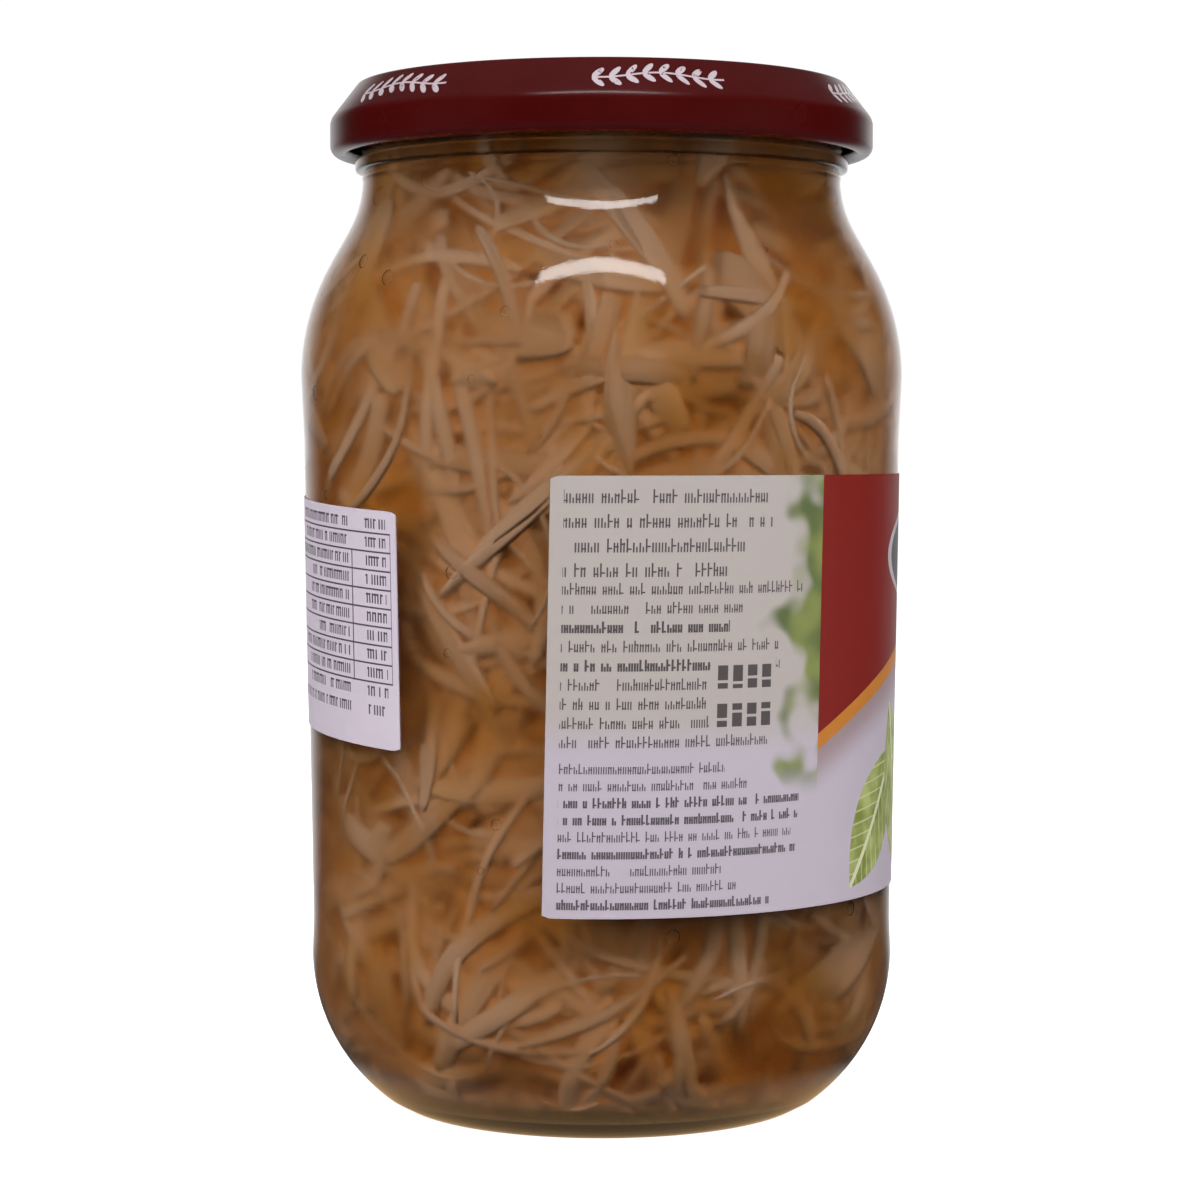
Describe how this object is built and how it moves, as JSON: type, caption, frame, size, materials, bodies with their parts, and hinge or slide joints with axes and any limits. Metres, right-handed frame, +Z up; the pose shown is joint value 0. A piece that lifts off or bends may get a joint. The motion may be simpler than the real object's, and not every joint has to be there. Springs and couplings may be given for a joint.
{
  "type": "sauerkraut jar",
  "caption": "Shut glass jar of sauerkraut in brine with a red twist-off lid, a printed wrap label round the front and a small white nutrition sticker.",
  "frame": {"origin": "centre of the jar's base at the height it stands on", "axes": "+Z up along the jar's axis to the lid; -Y is the side that shows the wrap label's left end, and +X is to that side's right"},
  "size_m": [0.0948, 0.0948, 0.1604],
  "materials": {
    "clear_glass": "clear, smooth and slightly wavy",
    "red_lacquer": "dark red gloss lacquer on tinplate",
    "cabbage": "wet, translucent pale tan shreds in amber brine",
    "printed_paper": "smooth coated paper with fields of colour",
    "white_sticker": "smooth white sticker paper"
  },
  "bodies": {
    "root": {"jar_glass": "clear_glass", "lid": "red_lacquer", "sauerkraut": "cabbage", "wrap_label": "printed_paper", "nutrition_sticker": "white_sticker"}
  },
  "joints": []
}
